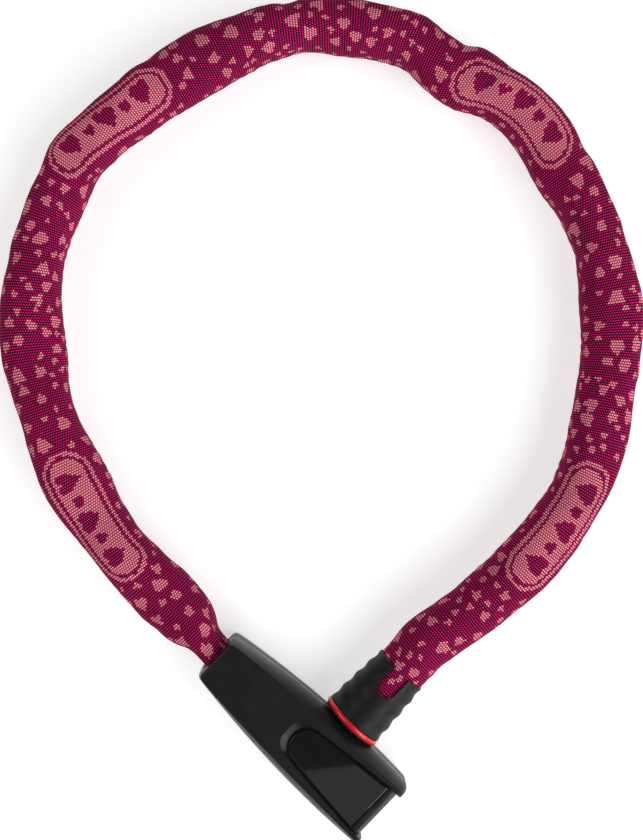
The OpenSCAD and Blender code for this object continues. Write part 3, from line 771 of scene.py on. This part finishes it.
# How far the cloth reaches to the left and right of the chain, at every half link, in millimetres
LEFT = [6.4, 10.5, 14.1, 14.3, 14.5, 14.8, 16.4, 15.9, 14.4, 14.2, 15.6, 15.9, 15.3, 13.0, 11.8, 13.0,
        16.7, 14.0, 11.8, 12.0, 13.9, 14.0, 11.8, 10.4, 14.5, 12.5, 11.8, 13.6, 10.3, 8.9, 13.2,
        15.6, 15.6, 11.9, 11.8, 12.8, 14.5, 15.6, 13.9, 11.8, 13.0, 14.0, 13.9, 14.2, 15.6, 15.9,
        14.9, 14.3, 13.0, 11.8, 12.2]
RIGHT = [7.6, 14.2, 15.4, 13.2, 11.5, 12.7, 15.2, 14.5, 11.8, 12.6, 14.9, 14.0, 11.9, 11.6, 12.7,
         12.2, 10.1, 12.4, 15.2, 15.6, 16.0, 15.5, 13.8, 10.2, 9.0, 12.2, 11.8, 11.2, 16.6, 18.2,
         13.0, 11.4, 12.6, 14.8, 12.4, 10.3, 11.6, 14.2, 14.6, 14.4, 14.7, 14.0, 12.9, 11.6, 11.7,
         12.5, 11.9, 11.5, 12.6, 13.8, 12.8]
# One stretch of cloth for each hinge of the chain
STRETCHES = LINKS // 2
CLOTH_T = 0.45
RING_STEPS = 88
RING_SPACING = 1.0
# A flat link's outline, and the least room between it and the cloth
LINK_HALF_L = 24.0
LINK_HALF_W = 11.4
LINK_CORNER = 9.0
LINK_ROOM = 0.9
# The sleeve's height above and below the middle: it flattens where it is wide, and sags below
TALL_LEAST = 12.5
TALL_MOST = 14.4
TALL_AND_WIDE = 25.8
SAG = 1.0
LOW_MOST = 15.1
# Where it starts, how it squeezes into the lock body's mouth, and how it fills the grip
MOUTH_S = 6.6
SLEEVE_END = (0.0, 40.2)
MOUTH_HALF = (7.3, 12.9)
GRIP_SLEEVE_R = 12.35
GRIP_FADE = 30.0
# Places of the badges' middles, along the sleeve and round it from its top
BADGES = [(95.2, -0.5), (297.6, -0.7), (513.2, -2.0), (728.5, -0.8)]
# The five hearts in each badge: distance from its middle, and width
BADGE_HEARTS = ((-20.0, 9.6), (-10.0, 5.4), (0.0, 9.6), (10.0, 5.4), (20.0, 9.6))
# The scattered hearts: width, how many places to try, and how many to keep
HEART_SIZES = ((6.6, 4000, 150), (4.9, 9000, 270), (3.2, 16000, 480))
HEART_GAP = 1.5
# A heart of size 1 reaches this far from its middle
HEART_REACH = 1.1


def chain_joints():
    """The hinge points between the links, as in the part: they follow the turns, and the error
    that is left at the end of the loop is shared out."""
    points = [np.array(ANCHOR)]
    heading = FIRST_HEADING
    for i in range(1, LINKS):
        length = PITCH if i == 1 else LINK_SHORT if i % 2 == 0 else LINK_LONG
        angle = math.radians(heading)
        points.append(points[-1] + length * np.array([math.cos(angle), math.sin(angle)]))
        if i <= len(TURNS):
            heading -= TURNS[i - 1]
    error = np.array(LOOP_END) - points[-1]
    points = [p + error * i / (LINKS - 1) for i, p in enumerate(points)]
    return points + [np.array(LINK_PIN)]


class Route:
    """The sleeve's centre line: a smooth curve through the middle of each link."""

    def __init__(self):
        joints = chain_joints()
        mids, headings = [np.array(ANCHOR)], [np.array([-1.0, 0.0])]
        for i in range(1, LINKS + 1):
            way = joints[i] - joints[i - 1]
            way /= np.linalg.norm(way)
            mid = joints[1] - way * LINK_LONG / 2 if i == 1 else (joints[i - 1] + joints[i]) / 2
            mids.append(mid)
            headings.append(way)
        mids.append(np.array(SLEEVE_END))
        headings.append(np.array([0.0, -1.0]))
        dense = []
        steps = 60
        for a, b, ta, tb in zip(mids, mids[1:], headings, headings[1:]):
            chord = np.linalg.norm(b - a)
            for t in np.linspace(0, 1, steps, endpoint=False):
                dense.append((2 * t ** 3 - 3 * t ** 2 + 1) * a + (t ** 3 - 2 * t ** 2 + t) * chord * ta
                             + (3 * t ** 2 - 2 * t ** 3) * b + (t ** 3 - t ** 2) * chord * tb)
        dense.append(mids[-1])
        self.points = np.array(dense)
        strides = np.linalg.norm(np.diff(self.points, axis=0), axis=1)
        self.s = np.concatenate([[0.0], np.cumsum(strides)])
        self.length = self.s[-1]
        self.knots = [self.s[steps * k] for k in range(len(mids))]
        self.joints = joints

    def at(self, s):
        return np.array([np.interp(s, self.s, self.points[:, axis]) for axis in (0, 1)])

    def way(self, s):
        """The direction at s."""
        a, b = self.at(max(0.0, s - 1.5)), self.at(min(self.length, s + 1.5))
        d = b - a
        return d / np.linalg.norm(d)

    def seam(self, k):
        """Distance along the route at the middle of chain body k."""
        return 0.5 * (self.knots[2 * k] + self.knots[2 * k + 1])


def spline(values, x):
    """Catmull-Rom through evenly spaced values."""
    x = min(max(x, 0.0), len(values) - 1.000001)
    i = int(x)
    t = x - i
    p = [values[min(max(i + d, 0), len(values) - 1)] for d in (-1, 0, 1, 2)]
    return p[1] + 0.5 * t * (p[2] - p[0] + t * (2 * p[0] - 5 * p[1] + 4 * p[2] - p[3]
                                                + t * (3 * (p[1] - p[2]) + p[3] - p[0])))


def soften(row, sigma):
    """Gaussian blur of values on a 1 mm grid."""
    reach = int(3 * sigma) + 1
    weights = np.exp(-0.5 * (np.arange(-reach, reach + 1) / sigma) ** 2)
    padded = np.pad(row, reach, mode="edge")
    return np.convolve(padded, weights / weights.sum(), mode="valid")


def link_outline():
    """One side of a link's plan outline from its middle: (along, across) points."""
    straight = LINK_HALF_L - LINK_CORNER
    points = [(x, LINK_HALF_W) for x in np.linspace(-straight, straight, 9)]
    for a in np.linspace(0, math.pi / 2, 7):
        x = straight + LINK_CORNER * math.sin(a)
        y = LINK_HALF_W - LINK_CORNER * (1 - math.cos(a))
        points += [(x, y), (-x, y)]
    return points


class Sleeve:
    """The cloth's cross-sections along the route."""

    def __init__(self):
        self.route = Route()
        self.start = MOUTH_S
        self.end = self.route.length - 0.8
        first, last = self.route.knots[1], self.route.knots[LINKS]
        half_link = (last - first) / (len(LEFT) - 1)
        self.grid = np.arange(0.0, self.route.length + 1.0, 1.0)
        places = [(s - first) / half_link for s in self.grid]
        clear = self.room_for_links()
        self.wide = [soften(np.maximum([spline(table, x) for x in places], need), 2.0)
                     for table, need in zip((LEFT, RIGHT), clear)]

    def room_for_links(self):
        """The least half width on each side that keeps the cloth off the links that lie flat."""
        route = self.route
        need = [np.zeros(len(self.grid)), np.zeros(len(self.grid))]
        for i in range(2, LINKS, 2):
            way = route.joints[i] - route.joints[i - 1]
            way /= np.linalg.norm(way)
            side = np.array([-way[1], way[0]])
            middle = (route.joints[i] + route.joints[i - 1]) / 2
            for along, across in link_outline():
                for sign in (1, -1):
                    point = middle + way * along + side * across * sign
                    k = np.linalg.norm(route.points - point, axis=1).argmin()
                    ahead = route.way(route.s[k])
                    gap = point - route.points[k]
                    offset = float(gap @ np.array([-ahead[1], ahead[0]]))
                    room = need[0 if offset > 0 else 1]
                    cell = min(int(round(route.s[k])), len(room) - 1)
                    lo, hi = max(0, cell - 3), cell + 4
                    room[lo:hi] = np.maximum(room[lo:hi], abs(offset) + LINK_ROOM)
        return [soften(row, 1.2) for row in need]

    def halves(self, s):
        """Half widths to the left and right, and half heights above and below, at s."""
        left, right = (float(np.interp(s, self.grid, row)) for row in self.wide)
        tall = min(TALL_MOST, max(TALL_LEAST, TALL_AND_WIDE - 0.94 * (left + right) / 2))
        low = min(tall + SAG, LOW_MOST)
        out = s - self.start
        in_grip = smoothstep((s - (self.route.length - GRIP_FADE)) / 14.0)
        halves = []
        for half, tight, from_mouth, reach in ((left, MOUTH_HALF[0], 3.0, 23.0),
                                               (right, MOUTH_HALF[0], 3.0, 13.0),
                                               (tall, MOUTH_HALF[1], 0.0, 22.0),
                                               (low, MOUTH_HALF[1], 0.0, 22.0)):
            half = tight + (half - tight) * smoothstep((out - from_mouth) / reach)
            halves.append(half + (GRIP_SLEEVE_R - half) * in_grip)
        return halves

    def ring(self, s):
        """The outer and inner ring at s, and each point's distance round the sleeve. The cloth
        has soft waves, creases inside its bends, and pleats where it enters the mouth."""
        left, right, tall, low = self.halves(s)
        centre, way = self.route.at(s), self.route.way(s)
        side = np.array([-way[1], way[0]])
        near_mouth = 1 - smoothstep((s - self.start) / 26.0)
        near_grip = smoothstep((s - (self.route.length - GRIP_FADE)) / 13.0)
        free = (1 - near_grip) * min(1.0, (s - self.start) / 12.0)
        ahead, behind = self.route.way(s + 6), self.route.way(s - 6)
        curl = float(behind[0] * ahead[1] - behind[1] * ahead[0]) / 12.0
        power = 0.88 + 0.12 * near_grip
        outer, inner = [], []
        for k in range(RING_STEPS):
            a = math.pi / 2 - 2 * math.pi * (k / RING_STEPS - 0.5)
            c, d = math.cos(a), math.sin(a)
            x = math.copysign(abs(c) ** power, c) * (left if c > 0 else right)
            z = math.copysign(abs(d) ** power, d) * (tall if d > 0 else low)
            out = math.hypot(x, z)
            soft = noise.noise(Vector((s / 9.0, 2.3 * c, 2.3 * d)))
            fine = noise.noise(Vector((s / 3.6, 4.0 * c + 9.0, 3.0 * d)))
            hollow = max(0.0, c * math.copysign(1.0, curl)) * min(1.0, abs(curl) * 90)
            crease = math.sin(2 * math.pi * s / 6.3 + 2.0 * soft) * hollow
            pleat = math.cos(11 * a + 0.6 * math.sin(s / 4.0)) * 0.38 * near_mouth
            wave = free * (0.34 * soft + 0.12 * fine + 0.14 * crease) + pleat * (0.4 + 0.6 * abs(d))
            wave = max(wave, -0.22)
            for scale, keep in (((out + wave) / out, outer), ((out + wave - CLOTH_T) / out, inner)):
                place = centre + side * x * scale
                keep.append((place[0], place[1], ZC + z * scale))
        ring = np.array(outer)
        steps = np.linalg.norm(np.roll(ring, -1, axis=0) - ring, axis=1)
        warp = np.concatenate([[0.0], np.cumsum(steps)]) / steps.sum() * AROUND
        return ring, np.array(inner), warp


def place_hearts(length):
    """The badges' hearts, and random ones that keep clear of each other and of the badges. Each
    is (distance round the sleeve, distance along it, turn, size)."""
    rng = random.Random(11)
    hearts = []
    for s, side in BADGES:
        for step, width in BADGE_HEARTS:
            hearts.append((AROUND / 2 + side, s + step, math.pi / 2, width / 2))

    def free(warp, s, reach):
        for b, side in BADGES:
            along = max(0.0, abs(s - b) - (BADGE_HALF_LENGTH - BADGE_HALF_WIDTH))
            across = warp - AROUND / 2 - side
            if math.hypot(along, across) < BADGE_HALF_WIDTH + reach + HEART_GAP:
                return False
        for w, t, _, size in hearts:
            if abs(s - t) > 16:
                continue
            across = (warp - w + AROUND / 2) % AROUND - AROUND / 2
            if math.hypot(s - t, across) < reach + HEART_REACH * size + HEART_GAP:
                return False
        return True

    for width, tries, most in HEART_SIZES:
        for _ in range(tries):
            warp, s = rng.uniform(0, AROUND), rng.uniform(0, length)
            turn = rng.uniform(0, 2 * math.pi)
            size = width * rng.uniform(0.92, 1.08) / 2
            if most > 0 and free(warp, s, HEART_REACH * size):
                hearts.append((warp, s, turn, size))
                most -= 1
    return np.array(hearts)


def sleeve_mesh(sleeve, hearts, s0, s1):
    """One stretch of the sleeve: an outer and an inner skin joined at both ends, with the maps
    that the woven material reads."""
    count = max(8, round((s1 - s0) / RING_SPACING))
    stations = np.linspace(s0, s1, count + 1)
    rings = [sleeve.ring(s) for s in stations]
    n = RING_STEPS
    m = count + 1
    outer = np.concatenate([r[0] for r in rings])
    inner = np.concatenate([r[1] for r in rings])
    shell = m * n
    i, k = np.meshgrid(np.arange(count), np.arange(n), indexing="ij")
    i, k = i.ravel(), k.ravel()
    k1 = (k + 1) % n
    a, b, c, d = i * n + k, i * n + k1, (i + 1) * n + k1, (i + 1) * n + k
    out_faces = np.stack([a, b, c, d], 1)
    in_faces = np.stack([a, d, c, b], 1) + shell
    e = np.arange(n)
    e1 = (e + 1) % n
    last = count * n
    start = np.stack([e, e + shell, e1 + shell, e1], 1)
    end = np.stack([last + e, last + e1, last + e1 + shell, last + e + shell], 1)

    warp = np.stack([r[2] for r in rings])
    corners = np.stack([np.stack([warp[i + p, k + q], stations[i + p]], 1)
                        for p, q in ((0, 0), (0, 1), (1, 1), (1, 0))], 1)
    rim = [np.stack([np.stack([warp[row, e + q], np.full(n, stations[row])], 1) for q in order], 1)
           for row, order in ((0, (0, 0, 1, 1)), (count, (0, 1, 1, 0)))]
    weave = np.concatenate([corners, corners[:, [0, 3, 2, 1]], rim[0], rim[1]])

    mesh = bpy.data.meshes.new("sleeve")
    faces = np.concatenate([out_faces, in_faces, start, end])
    mesh.from_pydata((np.concatenate([outer, inner]) * MM).tolist(), [], faces.tolist())

    centre = weave.mean(axis=1)
    across = (centre[:, None, 0] - hearts[None, :, 0] + AROUND / 2) % AROUND - AROUND / 2
    gap = np.hypot(across, centre[:, None, 1] - hearts[None, :, 1])
    near = hearts[(gap - HEART_REACH * hearts[None, :, 3]).argmin(axis=1)]
    motif = weave - near[:, None, :2]
    shift = np.round((centre[:, 0] - near[:, 0]) / AROUND) * AROUND
    motif[:, :, 0] -= shift[:, None]
    turn = np.repeat(near[:, None, 2:4], 4, axis=1)
    spots = np.array(BADGES)
    which = np.abs(centre[:, None, 1] - spots[None, :, 0]).argmin(axis=1)
    badge = weave - np.stack([AROUND / 2 + spots[which, 1], spots[which, 0]], 1)[:, None, :]
    for name, values in (("weave", weave), ("motif", motif), ("turn", turn), ("badge", badge)):
        mesh.uv_layers.new(name=name).data.foreach_set("uv", values.reshape(-1))

    mesh.polygons.foreach_set("use_smooth", [True] * len(mesh.polygons))
    edge = np.empty(len(mesh.edges) * 2, dtype=np.int32)
    mesh.edges.foreach_get("vertices", edge)
    row = (edge.reshape(-1, 2) % shell) // n
    sharp = (row[:, 0] == row[:, 1]) & ((row[:, 0] == 0) | (row[:, 0] == count))
    mesh.attributes.new("sharp_edge", "BOOLEAN", "EDGE").data.foreach_set("value", sharp)
    return mesh


def build_sleeve(material):
    """The sleeve in one stretch for each hinge of the chain, cut half way between the hinges."""
    sleeve = Sleeve()
    route = sleeve.route
    hearts = place_hearts(route.length)
    cuts = [sleeve.start] + [route.seam(k) for k in range(1, STRETCHES)] + [sleeve.end]
    for k in range(STRETCHES):
        mesh = sleeve_mesh(sleeve, hearts, cuts[k], cuts[k + 1])
        mesh.materials.append(material)
        ob = bpy.data.objects.new("Sleeve_%02d" % k, mesh)
        bpy.context.collection.objects.link(ob)
        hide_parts("sleeve_anchor" if k == 0 else "sleeve_%02d" % k)
        if k == STRETCHES - 1:
            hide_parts("sleeve_connector")
        hinge = route.joints[2 * k + 1]
        s = route.s[np.linalg.norm(route.points - hinge, axis=1).argmin()]
        way = route.way(s)
        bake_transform(ob)


# ------------------------------------------------------------------ Everything

bpy.context.scene.view_settings.view_transform = "Standard"
add_camera()
add_world(0.006, 0.028, 0.6)
add_area_light("Key", (1.5, 0.65, 1.35), (-0.1, 0.1, 0), 2.0, 46)
add_area_light("Fill", (-1.4, -0.5, 1.35), (-0.1, 0.1, 0), 1.5, 17)
add_area_light("Side", (1.5, -0.45, 1.15), (0, 0, 0), 1.0, 8)
# The card lies level above the lock and shows as a reflection on the inlay panel
card = add_area_light("Card", (0.700, -0.636, 1.7), (0.700, -0.636, 0), 0.9, 1.3)
card.rotation_euler = (0, 0, math.radians(50.7))

floor_shader = Shader("floor_paint", (0.6, 0.6, 0.6), 0.8, Emission_Color=(1, 1, 1, 1),
                      Emission_Strength=0.6)
floor_shader.color(floor_shader.mix(floor_shader.noise(2.0), (0.59, 0.59, 0.59), (0.61, 0.61, 0.61)))
add_floor(floor_shader.material)

case_plastic = moulded_plastic("case_plastic", (0.0100, 0.0100, 0.0102), (0.0120, 0.0120, 0.0122), 0.36,
                               0.00042, 0.00002, 0.22)
inlay_gloss = moulded_plastic("inlay_gloss", (0.0102, 0.0102, 0.0105), (0.0116, 0.0116, 0.0119), 0.03,
                              0.0011, 0.0000006, 0.5, 0.008)
plate_plastic = moulded_plastic("plate_plastic", (0.0095, 0.0095, 0.0098), (0.0115, 0.0115, 0.0118),
                                0.3, 0.00042, 0.00001, 0.5)
grip_rubber = moulded_plastic("grip_rubber", (0.0050, 0.0050, 0.0052), (0.0075, 0.0075, 0.0078), 0.5,
                              0.0006, 0.00003, 0.2, wear=0.25)
ring_plastic = moulded_plastic("ring_plastic", (0.62, 0.007, 0.016), (0.72, 0.012, 0.021), 0.24, 0.0006,
                               0.00001, 0.5, wear=0.2)
textile = woven_textile()
chain_steel = metal("chain_steel", (0.30, 0.30, 0.31), (0.48, 0.48, 0.49), 0.38, (1, 1, 6), 0.000012)
housing_steel = metal("housing_steel", (0.30, 0.30, 0.31), (0.44, 0.44, 0.46), 0.34, (0.15, 1, 1),
                      0.00001)
pin_steel = metal("pin_steel", (0.38, 0.38, 0.39), (0.56, 0.56, 0.57), 0.28, (1, 1, 4), 0.000008)
bolt_chrome = metal("bolt_chrome", (0.52, 0.52, 0.53), (0.66, 0.66, 0.67), 0.12, (1, 8, 1), 0.000004,
                    0.04)
bush_steel = metal("bush_steel", (0.05, 0.05, 0.052), (0.10, 0.10, 0.11), 0.36, (1, 6, 1), 0.000008)
brass = metal("brass", (0.50, 0.33, 0.12), (0.72, 0.53, 0.24), 0.26, (6, 1, 1), 0.000008)

# Every CAD node takes its slot's material; most of them stay as they are
SLOT_MATERIALS = {
    "case_plastic": case_plastic, "inlay_gloss": inlay_gloss, "grip_rubber": grip_rubber,
    "red_ring": ring_plastic, "textile": textile, "chain_steel": chain_steel,
    "housing_steel": housing_steel, "pin_steel": pin_steel, "bolt_chrome": bolt_chrome,
    "bush_steel": bush_steel, "brass": brass,
}
for part in frame["record"]["subparts"]:
    node = frame["nodes"][part["node"]]
    for holder in node.material_slots:
        holder.material = SLOT_MATERIALS[part["material_slot"]]

case_upper(case_plastic)
case_lower(case_plastic)
inlay(inlay_gloss)
rounded_copy("end_plate", "End_plate", 0.35, plate_plastic, "lock_body")
rounded_copy("keyhole_cover", "Keyhole_cover", 0.15, case_plastic, "keyhole_cover")
red_ring(ring_plastic)
collar(grip_rubber)
grip(grip_rubber)
build_sleeve(textile)
